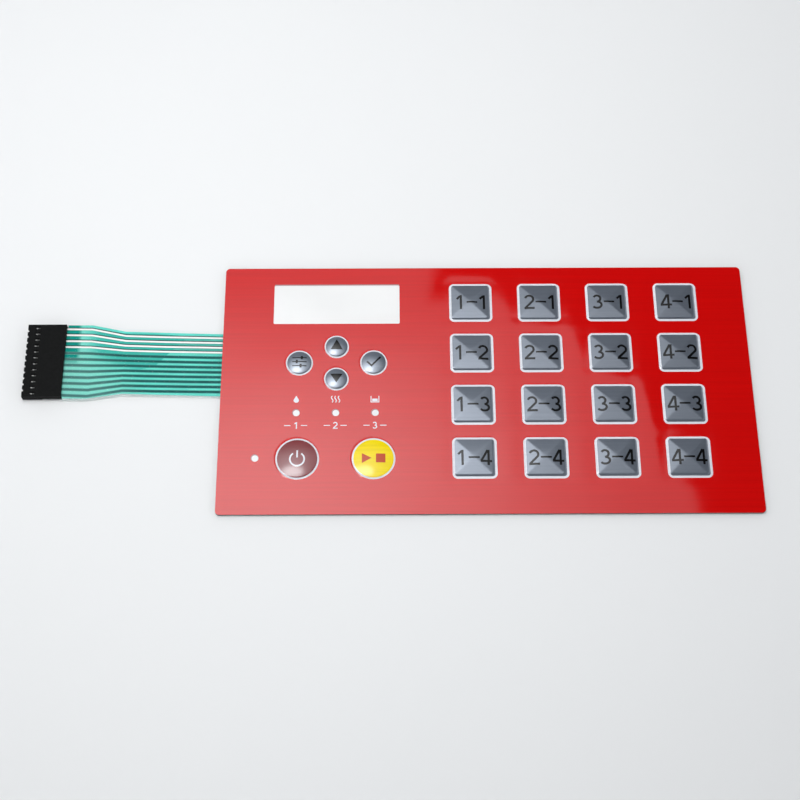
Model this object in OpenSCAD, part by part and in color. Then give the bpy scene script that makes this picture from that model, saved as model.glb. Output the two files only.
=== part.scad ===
// Membrane keypad: embossed front film on two circuit films, with a flexible tail and a 12-way connector.
// Millimetres. The origin is the centre of the panel on its back face. The front faces +Z, the tail leaves at -X.

/* [Panel] */
// Length of the panel
panel_w = 205; // [200:1:225]
// Height of the panel
panel_h = 104; // [100:1:120]
// Radius of the panel's four corners
panel_r = 1.6; // [0.5:0.1:4]

/* [Layers] */
// Thickness of the release liner
liner_t = 0.12; // [0.08:0.01:0.2]
// Thickness of the rear adhesive
rear_adhesive_t = 0.15; // [0.1:0.01:0.25]
// Thickness of each circuit film
circuit_t = 0.125; // [0.1:0.005:0.18]
// Thickness of the spacer between the circuit films
spacer_t = 0.2; // [0.15:0.01:0.3]
// Thickness of the adhesive under the front film
overlay_adhesive_t = 0.15; // [0.1:0.01:0.25]
// Thickness of the front film
overlay_t = 0.25; // [0.18:0.01:0.3]
// Thickness of the clear gloss varnish on the windows
varnish_t = 0.05; // [0.02:0.01:0.1]

/* [Square keys] */
// Side of an embossed square key
key_size = 15.6; // [14:0.2:17]
// Corner radius of a square key
key_r = 1.6; // [1:0.1:3]
// Distance between key columns
key_pitch_x = 27; // [24:0.5:28]
// Distance between key rows
key_pitch_y = 22; // [20:0.5:22.5]
// From the panel's right edge to the last column
key_right = 27.3; // [20:0.1:30]
// From the panel's top edge to the first row
key_top = 15.1; // [13:0.1:16]
// Height of the pillow's middle above the panel
key_rise = 1; // [0.5:0.05:1.2]

/* [Round keys] */
// From the panel's left edge to the middle of the round keys
pad_left = 44; // [42:0.5:50]
// From the panel's top edge to the middle of the cross of four keys
pad_top = 41.1; // [40:0.1:42]
// From the middle to the side keys
pad_reach_x = 14.4; // [13:0.1:18]
// From the middle to the up and down keys
pad_reach_y = 6.9; // [6.5:0.1:8]
// Diameter of the up and down keys
arrow_key_d = 9.5; // [8:0.1:11]
// Diameter of the side keys
side_key_d = 10.5; // [8:0.1:12]
// Diameter of the two large keys
large_key_d = 16.5; // [12:0.5:18]
// From the panel's top edge to the large keys
large_key_top = 81.1; // [79:0.1:84]
// Height of a round key's middle above the panel
round_rise = 0.95; // [0.5:0.05:1.2]

/* [Windows] */
// Length of the display window
window_w = 49.5; // [40:0.5:52]
// Height of the display window
window_h = 17.5; // [14:0.5:18]
// Corner radius of the display window
window_r = 0.5; // [0.3:0.1:2]
// From the panel's left edge to the middle of the display window
window_left = 44.3; // [42:0.1:46]
// From the panel's top edge to the middle of the display window
window_top = 16; // [14:0.1:18]
// Diameter of a lamp window
lamp_d = 3; // [2:0.1:4]
// Distance between the lamps in the row
lamp_pitch = 15.1; // [12:0.1:17]
// From the panel's top edge to the lamp row
lamp_top = 62.5; // [60:0.1:64]
// From the panel's left edge to the single lamp
lamp_left = 14; // [10:0.1:18]
// Room left round each window in the layers behind the front film
window_margin = 0.4; // [0.1:0.05:1]

/* [Tail] */
// From the panel's top edge to the middle of the tail where it leaves the panel
tail_top = 42.5; // [35:0.5:60]
// Sideways shift of the tail on its way to the connector
tail_offset = 1.5; // [0:0.1:3]
// Length of the tail outside the panel and the connector
tail_len = 61; // [55:1:90]
// Width where the tail leaves the panel
tail_narrow_w = 27.4; // [24:0.2:29]
// Width of the tail at the connector
tail_wide_w = 32.2; // [31:0.2:36]
// Length of the narrow part
tail_narrow_len = 38; // [20:1:40]
// Length of the taper to the wide part
tail_taper_len = 13.3; // [8:0.1:14]

/* [Connector] */
// Distance between contacts
pitch = 2.54; // [2.5:0.01:2.6]
// Length of the housing along the contacts
housing_len = 15; // [14:0.5:18]
// Height of the housing
housing_h = 3; // [2.9:0.1:3.4]
// Floor under the contacts
housing_floor = 0.5; // [0.4:0.05:0.6]
// Plastic outside the first and the last pitch
housing_end = 0.16; // [0.1:0.02:0.5]
// Thickness of the wall that the pins enter through
housing_front_t = 0.7; // [0.5:0.05:0.9]
// Side of a square pin entry
pin_hole = 1; // [0.8:0.05:1.2]
// Radius of the grooves between the noses
nose_groove_r = 0.6; // [0.3:0.05:0.65]
// Sheet thickness of a contact
contact_t = 0.2; // [0.15:0.01:0.22]
// Outer width of a contact's box
box_w = 1.7; // [1.6:0.05:1.75]
// Outer height of a contact's box
box_h = 1.65; // [1.5:0.05:1.7]
// Length of a contact's box
box_len = 6.4; // [5.5:0.1:6.6]
// Room between a contact and its cavity
cavity_clear = 0.08; // [0.04:0.02:0.1]

/* [Hidden] */
key_cols = 4;
key_rows = 4;
contacts = 12;
$fn = 64;
// Overrun of a cut beyond the face it opens
cut = 1;

// Heights of the layers
rear_adhesive_z = liner_t;
lower_z = rear_adhesive_z + rear_adhesive_t;
spacer_z = lower_z + circuit_t;
upper_z = spacer_z + spacer_t;
overlay_adhesive_z = upper_z + circuit_t;
overlay_z = overlay_adhesive_z + overlay_adhesive_t;
front_z = overlay_z + overlay_t;

// Edges of the panel
left_x = -panel_w / 2;
right_x = panel_w / 2;
top_y = panel_h / 2;

// Embossing: a short steep wall, then a roof that flattens toward the middle
emboss_wall = 0.3;
emboss_draft = 0.35;
roof_steps = 4;
roof_power = 1.1;
// Sides of the circle that the crown of a dome is cut from
crown_sides = 720;

// Key positions
square_keys = [
    for (row = [0 : key_rows - 1])
        for (col = [0 : key_cols - 1])
            [right_x - key_right - (key_cols - 1 - col) * key_pitch_x, top_y - key_top - row * key_pitch_y]
];
pad_x = left_x + pad_left;
pad_y = top_y - pad_top;
large_key_y = top_y - large_key_top;
round_keys = [
    [pad_x, pad_y + pad_reach_y, arrow_key_d],
    [pad_x, pad_y - pad_reach_y, arrow_key_d],
    [pad_x - pad_reach_x, pad_y, side_key_d],
    [pad_x + pad_reach_x, pad_y, side_key_d],
    [pad_x - pad_reach_x, large_key_y, large_key_d],
    [pad_x + pad_reach_x, large_key_y, large_key_d]
];

// Window positions
window_x = left_x + window_left;
window_y = top_y - window_top;
lamps = concat(
    [for (i = [-1 : 1]) [window_x + i * lamp_pitch, top_y - lamp_top]],
    [[left_x + lamp_left, large_key_y]]
);

// Switch areas in the spacer
switch_share = 0.55;
channel_w = 1;

// Tail
tail_y = top_y - tail_top;
connector_y = tail_y + tail_offset;
tail_steps = 24;
// Straight film outside the panel before the tail starts to rise
tail_start = 3;
tail_rise_len = tail_len - 2 * tail_start;
// Share of the tail's length in which the two films close up
close_share = 0.4;
// Overlap of the tail's strip with the film inside the panel
tail_root = 4;

// Connector
rear_x = left_x - tail_len;
front_x = rear_x - housing_len;
housing_w = contacts * pitch + 2 * housing_end;
cavity_w = box_w + 2 * cavity_clear;
cavity_h = box_h + cavity_clear;
box_x = front_x + housing_front_t + cavity_clear;
box_end_x = box_x + box_len;
crimp_w = 1.3;
neck_w = 1.1;
// Start of the crimp, the two pairs of claws and the end of the contact, from the box's rear end
film_gap = 0.8;
claw_first = 1.4;
claw_second = 3.6;
claw_starts = [claw_first, claw_second];
claw_len = 1.1;
contact_tail = 5.2;
claw_reach = 0.4;
slit_clear = 0.05;
tongue_margin = 0.05;
chamber_clear = 0.15;
tongue_x = box_end_x + film_gap;
tongue_w = (contacts - 1) * pitch + crimp_w + 2 * tongue_margin;
chamber_x = box_end_x + cavity_clear;
chamber_w = tongue_w + 2 * chamber_clear;
chamber_h = 1.5;
entry_z = housing_floor + contact_t;
shoulder_gap = 0.1;
// Latch lanced out of the roof of a contact's box, its opening there, and the window in the housing above it
latch_w = 0.4;
latch_from = 2.3;
latch_len = 0.9;
latch_rise = 0.35;
latch_slot = 0.2;
latch_window_w = 0.95;
latch_window_len = 1.8;
// Spring on the floor of a contact's box
spring_w = 0.8;
spring_len = 4;
spring_bow = 0.3;
spring_t = 0.12;
// Shape of the housing's ends
funnel = 0.3;
rear_chamfer = 1.1;
side_step = 0.25;
side_step_len = 7.5;
side_step_h = 1.4;

function contact_name(i) = str("contact_", i < 10 ? "0" : "", i);
// Contact 1 is at the panel's top side
function contact_y(i) = connector_y + ((contacts + 1) / 2 - i) * pitch;

function smooth(u) = (1 - cos(180 * max(0, min(1, u)))) / 2;

module rounded(w, h, r) {
    square([w - 2 * r, h], center = true);
    square([w, h - 2 * r], center = true);
    for (x = [-1, 1])
        for (y = [-1, 1])
            translate([x * (w / 2 - r), y * (h / 2 - r)])
                circle(r = r);
}

module panel_outline() {
    rounded(panel_w, panel_h, panel_r);
}

module light_windows(margin) {
    translate([window_x, window_y])
        rounded(window_w + 2 * margin, window_h + 2 * margin, window_r + margin);
    for (p = lamps)
        translate(p)
            circle(d = lamp_d + 2 * margin);
}

// Outlines of all embossed keys, widened by a margin
module key_outlines(margin) {
    for (p = square_keys)
        translate(p)
            rounded(key_size + 2 * margin, key_size + 2 * margin, key_r + margin);
    for (k = round_keys)
        translate([k[0], k[1]])
            circle(d = k[2] + 2 * margin);
}

// A layer of the stack with the window openings in it
module layer(z, t) {
    translate([0, 0, z])
        linear_extrude(t)
            difference() {
                panel_outline();
                light_windows(window_margin);
                children();
            }
}

// Square pillow, standing on z = 0 with a foot below it
module pillow(size, r, rise, foot) {
    shoulder = size / 2 - emboss_draft;
    profile = concat(
        [[-size / 2, -foot], [-size / 2, 0]],
        [
            for (i = [-roof_steps : roof_steps])
                [
                    i / roof_steps * shoulder,
                    emboss_wall + (rise - emboss_wall) * (1 - pow(abs(i / roof_steps), roof_power))
                ]
        ],
        [[size / 2, 0], [size / 2, -foot]]
    );
    intersection() {
        rotate([90, 0, 0])
            linear_extrude(size, center = true)
                polygon(profile);
        rotate([90, 0, 90])
            linear_extrude(size, center = true)
                polygon(profile);
        translate([0, 0, -foot])
            linear_extrude(foot + rise)
                rounded(size, size, r);
    }
}

// Round dome, standing on z = 0 with a foot below it
module dome(d, rise, foot) {
    shoulder = d / 2 - emboss_draft;
    crown = rise - emboss_wall;
    crown_r = (shoulder * shoulder + crown * crown) / (2 * crown);
    rotate_extrude() {
        polygon([[0, -foot], [d / 2, -foot], [d / 2, 0], [shoulder, emboss_wall], [0, emboss_wall]]);
        intersection() {
            translate([0, rise - crown_r])
                circle(r = crown_r, $fn = crown_sides);
            square([shoulder, rise]);
        }
    }
}

// All keys at once: the outside of the embossing, or its hollow where inset is the film's thickness
module embossing(inset, foot) {
    for (p = square_keys)
        translate([p[0], p[1], front_z - inset])
            pillow(key_size - 2 * inset, key_r - inset, key_rise, foot);
    for (k = round_keys)
        translate([k[0], k[1], front_z - inset])
            dome(k[2] - 2 * inset, round_rise, foot);
}

module graphic_overlay() {
    color("firebrick")
        difference() {
            union() {
                translate([0, 0, overlay_z])
                    linear_extrude(overlay_t)
                        panel_outline();
                embossing(0, overlay_t / 2);
                translate([0, 0, front_z - overlay_t / 2])
                    linear_extrude(overlay_t / 2 + varnish_t)
                        light_windows(0);
            }
            embossing(overlay_t, cut);
        }
}

module overlay_adhesive() {
    color("gainsboro")
        layer(overlay_adhesive_z, overlay_adhesive_t)
            key_outlines(0);
}

// Holes where the circuits meet, joined by channels that let the air move when a key is pressed
module switch_areas() {
    for (p = square_keys)
        translate(p)
            circle(d = key_size * switch_share);
    for (k = round_keys)
        translate([k[0], k[1]])
            circle(d = k[2] * switch_share);
    for (row = [0 : key_rows - 1])
        channel(square_keys[row * key_cols], square_keys[row * key_cols + key_cols - 1]);
    channel(square_keys[key_cols - 1], square_keys[key_rows * key_cols - 1]);
    channel(round_keys[1], round_keys[0]);
    channel(round_keys[2], round_keys[3]);
    channel(round_keys[4], round_keys[5]);
}

// A straight channel along X or Y between two key centres
module channel(a, b) {
    translate([(a[0] + b[0]) / 2, (a[1] + b[1]) / 2])
        square([abs(b[0] - a[0]) + channel_w, abs(b[1] - a[1]) + channel_w], center = true);
}

module circuit_spacer() {
    color("whitesmoke")
        layer(spacer_z, spacer_t)
            switch_areas();
}

// Height of the tail's lower face at x
function tail_z(x) = lower_z + (entry_z - lower_z) * smooth((left_x - tail_start - x) / tail_rise_len);
// Gap between the two films of the tail at x
function tail_gap(x) = spacer_t * (1 - smooth((left_x - tail_start - x) / (tail_len * close_share)));

tail_xs = concat(
    [left_x + tail_root],
    [for (i = [0 : tail_steps]) left_x - tail_start - i / tail_steps * tail_rise_len],
    [tongue_x]
);

module tail_outline() {
    narrow_end = left_x - tail_narrow_len;
    wide_start = narrow_end - tail_taper_len;
    wide_end = rear_x + shoulder_gap;
    // Position, middle line and half width at each corner of the outline
    stations = [
        [left_x + tail_root, 0, tail_narrow_w / 2],
        [left_x, 0, tail_narrow_w / 2],
        [narrow_end, tail_offset * tail_narrow_len / (tail_narrow_len + tail_taper_len), tail_narrow_w / 2],
        [wide_start, tail_offset, tail_wide_w / 2],
        [wide_end, tail_offset, tail_wide_w / 2],
        [wide_end, tail_offset, tongue_w / 2],
        [tongue_x, tail_offset, tongue_w / 2]
    ];
    last = len(stations) - 1;
    polygon(concat(
        [for (s = stations) [s[0], s[1] + s[2]]],
        [for (i = [0 : last]) [stations[last - i][0], stations[last - i][1] - stations[last - i][2]]]
    ));
}

// One film of the tail; its lower face is given as a list of heights along tail_xs
module tail_strip(heights) {
    last = len(tail_xs) - 1;
    low = [for (i = [0 : last]) [tail_xs[i], heights[i]]];
    high = [for (i = [0 : last]) [tail_xs[last - i], heights[last - i] + circuit_t]];
    translate([0, tail_y, 0])
        intersection() {
            rotate([90, 0, 0])
                linear_extrude(tail_wide_w + 2 * tail_offset + 2 * cut, center = true)
                    polygon(concat(low, high));
            linear_extrude(front_z + housing_h)
                tail_outline();
        }
}

// Slits that the claws of the contacts pass through
module claw_slits() {
    for (i = [1 : contacts])
        for (side = [-1, 1])
            for (start = claw_starts)
                translate([
                    box_end_x + start - slit_clear,
                    contact_y(i) + side * (crimp_w - contact_t) / 2 - contact_t / 2 - slit_clear,
                    entry_z - cut
                ])
                    cube([claw_len + 2 * slit_clear, contact_t + 2 * slit_clear, 2 * cut + 2 * circuit_t]);
}

module lower_circuit() {
    color("mediumseagreen")
        difference() {
            union() {
                layer(lower_z, circuit_t);
                tail_strip([for (x = tail_xs) tail_z(x)]);
            }
            claw_slits();
        }
}

module upper_circuit() {
    color("paleturquoise")
        difference() {
            union() {
                layer(upper_z, circuit_t);
                tail_strip([for (x = tail_xs) tail_z(x) + circuit_t + tail_gap(x)]);
            }
            claw_slits();
        }
}

module rear_adhesive() {
    color("lightgrey")
        layer(rear_adhesive_z, rear_adhesive_t);
}

module release_liner() {
    color("ivory")
        layer(0, liner_t);
}

// Square lead-in that narrows from the front face to the pin hole
module pin_funnel() {
    flare = [
        [-cut, -pin_hole / 2 - funnel - cut],
        [funnel, -pin_hole / 2],
        [funnel, pin_hole / 2],
        [-cut, pin_hole / 2 + funnel + cut]
    ];
    intersection() {
        linear_extrude(2 * housing_h, center = true)
            polygon(flare);
        rotate([90, 0, 0])
            linear_extrude(2 * housing_h, center = true)
                polygon(flare);
    }
}

module connector_housing() {
    pin_z = housing_floor + box_h / 2;
    color([0.12, 0.12, 0.13])
        difference() {
            translate([front_x, connector_y - housing_w / 2, 0])
                cube([housing_len, housing_w, housing_h]);
            for (i = [1 : contacts])
                translate([front_x, contact_y(i), 0]) {
                    translate([housing_front_t, -cavity_w / 2, housing_floor])
                        cube([chamber_x - front_x - housing_front_t + cut, cavity_w, cavity_h]);
                    translate([-cut, -pin_hole / 2, pin_z - pin_hole / 2])
                        cube([housing_front_t + 2 * cut, pin_hole, pin_hole]);
                    translate([0, 0, pin_z])
                        pin_funnel();
                    translate([box_x - front_x + latch_from, -latch_window_w / 2, housing_floor])
                        cube([latch_window_len, latch_window_w, housing_h]);
                }
            for (i = [1 : contacts - 1])
                translate([front_x, contact_y(i) - pitch / 2, -cut])
                    cylinder(r = nose_groove_r, h = housing_h + 2 * cut);
            translate([chamber_x, connector_y - chamber_w / 2, housing_floor])
                cube([rear_x - chamber_x + cut, chamber_w, chamber_h]);
            translate([0, connector_y, 0])
                rotate([90, 0, 0])
                    linear_extrude(housing_w + 2 * cut, center = true)
                        polygon([[rear_x - rear_chamfer, 0], [rear_x + cut, -cut], [rear_x, housing_floor]]);
            for (side = [-1, 1])
                translate([
                    rear_x - side_step_len,
                    connector_y + side * housing_w / 2 - side_step,
                    -cut
                ])
                    cube([side_step_len + cut, 2 * side_step, side_step_h + cut]);
        }
}

// One contact, from its box to its claws, with its floor on z = 0 and the box's front at x = 0
module contact() {
    latch_tip = latch_from + latch_window_len - latch_slot;
    latch_root = latch_tip - latch_len;
    color("silver") {
        difference() {
            translate([0, -box_w / 2, 0])
                cube([box_len, box_w, box_h]);
            translate([-cut, -box_w / 2 + contact_t, contact_t])
                cube([box_len + 2 * cut, box_w - 2 * contact_t, box_h - 2 * contact_t]);
            translate([latch_root, -latch_w / 2 - latch_slot, box_h - contact_t - cut])
                cube([latch_len + latch_slot, latch_w + 2 * latch_slot, contact_t + 2 * cut]);
        }
        // Latch that rises from the roof into the housing's window, so that the contact can't slide back
        rotate([90, 0, 0])
            linear_extrude(latch_w, center = true)
                polygon([
                    [latch_root - contact_t, box_h - contact_t],
                    [latch_root, box_h - contact_t],
                    [latch_tip, box_h + latch_rise - contact_t],
                    [latch_tip, box_h + latch_rise],
                    [latch_root, box_h],
                    [latch_root - contact_t, box_h]
                ]);
        // Bowed spring on the box's floor
        spring_x = (box_len - spring_len) / 2;
        rotate([90, 0, 0])
            linear_extrude(spring_w, center = true)
                polygon([
                    [spring_x, contact_t],
                    [spring_x + spring_len / 2, contact_t + spring_bow],
                    [spring_x + spring_len, contact_t],
                    [spring_x + spring_len - spring_t, contact_t - spring_t],
                    [spring_x + spring_len / 2, contact_t + spring_bow - spring_t],
                    [spring_x + spring_t, contact_t - spring_t]
                ]);
        // Neck and crimp floor
        translate([box_len - contact_t, -neck_w / 2, 0])
            cube([claw_first + contact_t, neck_w, contact_t]);
        translate([box_len + film_gap, -crimp_w / 2, 0])
            cube([contact_tail - film_gap, crimp_w, contact_t]);
        // Claws that pass through the films and fold inward on top of them
        for (start = claw_starts)
            for (side = [0, 1])
                mirror([0, side, 0])
                    translate([box_len + start, crimp_w / 2 - contact_t, 0]) {
                        cube([claw_len, contact_t, 2 * contact_t + 2 * circuit_t]);
                        translate([0, -claw_reach, contact_t + 2 * circuit_t])
                            cube([claw_len, claw_reach + contact_t, contact_t]);
                    }
    }
}

graphic_overlay();
overlay_adhesive();
upper_circuit();
circuit_spacer();
lower_circuit();
rear_adhesive();
release_liner();
connector_housing();
for (i = [1 : contacts])
    translate([box_x, contact_y(i), housing_floor])
            contact();
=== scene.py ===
import math

import bpy
import numpy as np
from mathutils import Matrix, Vector
from mathutils.geometry import delaunay_2d_cdt


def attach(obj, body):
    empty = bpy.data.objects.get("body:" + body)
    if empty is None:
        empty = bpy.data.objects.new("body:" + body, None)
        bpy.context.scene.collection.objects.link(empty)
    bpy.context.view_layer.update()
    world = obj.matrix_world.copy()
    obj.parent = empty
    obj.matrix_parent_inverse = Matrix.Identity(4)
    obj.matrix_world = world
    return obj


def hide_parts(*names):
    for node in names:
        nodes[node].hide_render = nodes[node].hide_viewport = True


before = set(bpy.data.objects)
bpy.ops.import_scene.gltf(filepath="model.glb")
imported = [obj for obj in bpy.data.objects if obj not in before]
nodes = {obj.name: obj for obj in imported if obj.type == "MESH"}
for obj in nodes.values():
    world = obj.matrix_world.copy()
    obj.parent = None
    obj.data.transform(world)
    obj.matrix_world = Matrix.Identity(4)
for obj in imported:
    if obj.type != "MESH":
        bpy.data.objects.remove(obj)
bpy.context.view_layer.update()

# Lengths of the object are in millimetres, as in the solids, and MM turns them into metres
MM = 0.001

# Panel and heights of its layers
PANEL_W = 205.0
PANEL_H = 104.0
PANEL_R = 1.6
LEFT = -PANEL_W / 2
LOWER_Z = 0.27
CIRCUIT_T = 0.125
SPACER_T = 0.2
OVERLAY_Z = 0.87
FRONT_Z = 1.12

# Square keys: size, pitch, and the middle of the one at the upper right
KEY_SIZE = 15.6
KEY_R = 1.6
KEY_RISE = 1.0
KEY_COUNT = 4
KEY_PITCH_X = 27
KEY_PITCH_Y = 22
KEY_RIGHT_X = 75.2
KEY_TOP_Y = 36.9
SQUARES = [
    (KEY_RIGHT_X - KEY_PITCH_X * (KEY_COUNT - 1 - column), KEY_TOP_Y - KEY_PITCH_Y * row)
    for row in range(KEY_COUNT)
    for column in range(KEY_COUNT)
]

# Round keys, each as x, y and diameter: four small ones round a middle, and two large ones below
PAD_X = -58.5
PAD_Y = 10.9
PAD_REACH_X = 14.4
PAD_REACH_Y = 6.9
ARROW_D = 9.5
SIDE_D = 10.5
LARGE_D = 16.5
LARGE_Y = -29.1
ROUND_RISE = 0.95
UP_KEY = (PAD_X, PAD_Y + PAD_REACH_Y, ARROW_D)
DOWN_KEY = (PAD_X, PAD_Y - PAD_REACH_Y, ARROW_D)
LEFT_KEY = (PAD_X - PAD_REACH_X, PAD_Y, SIDE_D)
RIGHT_KEY = (PAD_X + PAD_REACH_X, PAD_Y, SIDE_D)
STANDBY_KEY = (PAD_X - PAD_REACH_X, LARGE_Y, LARGE_D)
START_KEY = (PAD_X + PAD_REACH_X, LARGE_Y, LARGE_D)
ROUNDS = [UP_KEY, DOWN_KEY, LEFT_KEY, RIGHT_KEY, STANDBY_KEY, START_KEY]

# Embossing: the wall's height and draft, the roofs' power, and how softly the surfaces meet
WALL = 0.3
DRAFT = 0.35
ROOF_POWER = 1.25
PEAK_ROUND = 0.3
HIP_ROUND = 0.05
EDGE_ROUND = 0.16
DOME_ROUND = 0.12
FOOT_ROUND = 0.1
# Dish that the embossing leaves in the film round a square key
DISH = 0.058
DISH_REACH = 3.5
DISH_LIMIT = 8
# The domes are a little wider than in the solids, and a little further right and down
DOME_SHIFT = (0.15, -0.25)
DOME_EXTRA = 0.4
DOME_LIMIT = 1
DOMES = [(x + DOME_SHIFT[0], y + DOME_SHIFT[1], d + DOME_EXTRA) for x, y, d in ROUNDS]

# Clear windows for the display and the lamps, and how much wider the layers behind are open
WINDOW_X = -58.2
WINDOW_Y = 36.0
WINDOW_W = 49.5
WINDOW_H = 17.5
WINDOW_R = 0.5
WINDOW_MARGIN = 0.4
LAMP_D = 3.0
LAMP_PITCH = 15.1
LAMP_ROW_Y = -10.5
LAMP_ROW = [(WINDOW_X + LAMP_PITCH * i, LAMP_ROW_Y) for i in (-1, 0, 1)]
SIDE_LAMP = (-88.5, LARGE_Y)
LAMPS = LAMP_ROW + [SIDE_LAMP]

# The print sits a little right of and below the keys, more so at the round ones
KEY_SHIFT = (0.42, -0.5)
ROUND_SHIFT = (0.5, -0.75)

# Tail: its films leave the panel level, rise to the connector and close up to a small gap
TAIL_Y = 9.5
CONNECTOR_Y = 11.0
TAIL_LEN = 61.0
TAIL_START = 3
CLOSE_SHARE = 0.4
FILM_GAP = 0.02
ENTRY_Z = 0.7
# Places where its narrow part, taper, wide part and tongue end, and its widths
NARROW_X = -140.5
WIDE_X = -153.8
SHOULDER_X = -163.4
TONGUE_X = -170.52
NARROW_W = 27.4
WIDE_W = 32.2
TONGUE_W = 29.34

# Contacts, and the slits in the films that their claws pass through
CONTACTS = 12
PITCH = 2.54
SLIT_STARTS = (-169.97, -167.77)
SLIT_LEN = 1.2
SLIT_W = 0.3
SLIT_REACH = 0.55


# Flat outlines

# Least cosine at a bend of a stroke, which keeps sharp bends from growing long points
LEAST_MITRE = 0.5


def arc(cx, cy, rx, ry, start, end, steps=14):
    """Points of an elliptical arc between two angles in degrees."""
    angles = [math.radians(start + (end - start) * i / steps) for i in range(steps + 1)]
    return [(cx + rx * math.cos(a), cy + ry * math.sin(a)) for a in angles]


def circle(cx, cy, r, steps):
    return arc(cx, cy, r, r, 0, 360, steps)[:-1]


def rounded(cx, cy, w, h, r, steps=6):
    """Rectangle with round corners, from its upper right corner on."""
    outline = []
    for side_x, side_y, start in ((1, 1, 0), (-1, 1, 90), (-1, -1, 180), (1, -1, 270)):
        x = cx + side_x * (w / 2 - r)
        y = cy + side_y * (h / 2 - r)
        outline += arc(x, y, r, r, start, start + 90, steps)
    return outline


def dense(loop, step):
    """A closed outline with points at most a step apart."""
    points = []
    for a, b in zip(loop, loop[1:] + loop[:1]):
        count = max(1, math.ceil(math.dist(a, b) / step))
        for i in range(count):
            points.append((a[0] + (b[0] - a[0]) * i / count, a[1] + (b[1] - a[1]) * i / count))
    return points


def ribbon(path, width):
    """Outline of a stroke along an open path."""
    path = np.array(path, float)
    ahead = np.diff(path, axis=0)
    ahead /= np.linalg.norm(ahead, axis=1)[:, None]
    across = np.stack([-ahead[:, 1], ahead[:, 0]], 1)
    mitre = np.vstack([across[:1], across[:-1] + across[1:], across[-1:]])
    mitre /= np.linalg.norm(mitre, axis=1)[:, None]
    cosine = np.clip((mitre[1:-1] * across[1:]).sum(1), LEAST_MITRE, 1)
    cosine = np.concatenate([[1], cosine, [1]])
    offset = mitre * (width / 2 / cosine)[:, None]
    return [tuple(p) for p in np.vstack([path + offset, (path - offset)[::-1]])]


def moved(points, x, y):
    return [(x + a, y + b) for a, b in points]


def inside(places, loop):
    """Which of the places lie inside a closed outline."""
    x, y = places.T
    corners = np.array(loop)
    hit = np.zeros(len(places), bool)
    for (x0, y0), (x1, y1) in zip(corners, np.roll(corners, -1, 0)):
        if y0 != y1:
            hit ^= ((y0 > y) != (y1 > y)) & (x < (x1 - x0) * (y - y0) / (y1 - y0) + x0)
    return hit


# Numerals 6.2 mm high: the width of each, and its strokes from the left end and the foot of the ink
NUMERALS = {
    "1": (2.2, [
        [(0.2, 4.5), (1.5, 5.75)],
        [(1.82, 0), (1.82, 6.2)],
    ]),
    "2": (4.1, [
        arc(2.0, 4.22, 1.62, 1.6, 158, -28) + [(0.45, 0.5)],
        [(0.1, 0.375), (4.1, 0.375)],
    ]),
    "3": (3.85, [
        arc(1.75, 4.45, 1.38, 1.375, 150, -90),
        arc(1.75, 1.72, 1.72, 1.35, 90, -150),
    ]),
    "4": (4.4, [
        [(2.78, 6.1), (0.35, 1.75)],
        [(0.05, 1.65), (4.4, 1.65)],
        [(3.1, 0), (3.1, 6.2)],
    ]),
}


def numeral(char, x, y, scale, stroke):
    """Outlines of a numeral with its ink starting at x and its foot on y."""
    paths = NUMERALS[char][1]
    return [ribbon([(x + a * scale, y + b * scale) for a, b in path], stroke) for path in paths]


# Sheets: a flat plan cut into printed fields and lifted to two heights. A field is an outline and a material.

MERGE_DISTANCE = 1e-5
SLOPE_STEP = 0.04


def triangulate(loops, points):
    """Triangles over all the points, with the loops among their edges."""
    places = []
    edges = []
    for loop in loops:
        first = len(places)
        places += loop
        edges += [(first + i, first + (i + 1) % len(loop)) for i in range(len(loop))]
    vectors = [Vector(p) for p in places + list(points)]
    places, _, triangles, *_ = delaunay_2d_cdt(vectors, edges, [], 0, MERGE_DISTANCE, False)
    return np.array([tuple(p) for p in places]), np.array([tuple(t) for t in triangles])


def plan(outline, holes, fields, points):
    """Places and triangles of a flat sheet, cut along the outlines of its printed fields."""
    places, triangles = triangulate([outline] + holes + [loop for loop, _ in fields], points)
    middles = places[triangles].mean(1)
    keep = inside(middles, outline)
    for hole in holes:
        keep &= ~inside(middles, hole)
    used, triangles = np.unique(triangles[keep], return_inverse=True)
    return places[used], triangles.reshape(-1, 3)


def printed(middles, fields, materials):
    """Material number at each of the middles. Later fields are printed over earlier ones."""
    numbers = np.zeros(len(middles), int)
    for loop, ink in fields:
        corners = np.array(loop)
        in_box = (middles >= corners.min(0)) & (middles <= corners.max(0))
        near = np.where(in_box.all(1))[0]
        numbers[near[inside(middles[near], loop)]] = materials.index(ink)
    return numbers


def slope_normals(places, height):
    """Normals of a height function, from its slope over a short step."""
    x, y = places.T
    slope_x = (height(x + SLOPE_STEP, y) - height(x - SLOPE_STEP, y)) / (2 * SLOPE_STEP)
    slope_y = (height(x, y + SLOPE_STEP) - height(x, y - SLOPE_STEP)) / (2 * SLOPE_STEP)
    normals = np.stack([-slope_x, -slope_y, np.ones(len(places))], 1)
    return normals / np.linalg.norm(normals, axis=1)[:, None]


def border(triangles, count):
    """Edges with a triangle on one side only, which is on their left."""
    edges = np.vstack([triangles[:, [0, 1]], triangles[:, [1, 2]], triangles[:, [2, 0]]])
    there = edges[:, 0] * count + edges[:, 1]
    back = edges[:, 1] * count + edges[:, 0]
    return edges[~np.isin(there, back)]


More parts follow.
